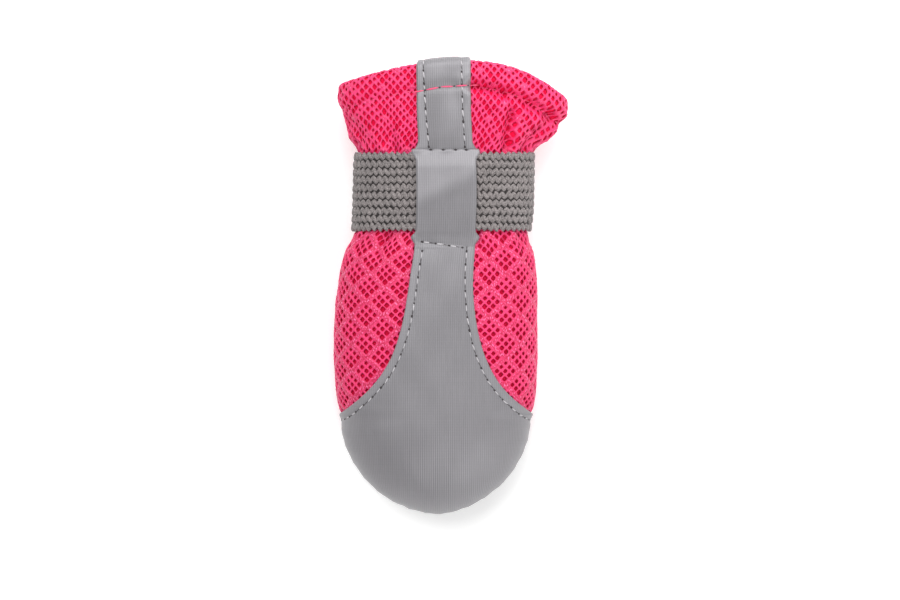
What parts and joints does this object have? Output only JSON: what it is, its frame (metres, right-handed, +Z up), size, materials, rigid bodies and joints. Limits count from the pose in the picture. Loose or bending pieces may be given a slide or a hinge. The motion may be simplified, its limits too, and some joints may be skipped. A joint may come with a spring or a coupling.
{
  "type": "dog sock",
  "caption": "Soft mesh dog sock with a facing toe cap, elastic ankle strap under a keeper and a leatherette sole, lying on its sole with the collar open.",
  "frame": {"origin": "middle of the overall box at the floor", "axes": "+Y from the toe to the collar, +X to the wearer's side at the picture's right, +Z up from the floor"},
  "size_m": [0.0594, 0.117, 0.027],
  "materials": {
    "mesh": "pink spacer mesh, matte with a faint sheen",
    "leatherette": "black grained leatherette, semi-gloss",
    "facing": "silver-grey reflective cloth, soft sheen",
    "elastic": "grey knitted elastic, matte",
    "tape": "light grey hook tape, matte"
  },
  "bodies": {
    "root": {"upper": "mesh", "sole": "leatherette", "toe_cap": "facing", "collar_strip": "facing", "strap_keeper": "facing", "strap": "elastic", "hook_tape": "tape"}
  },
  "joints": []
}
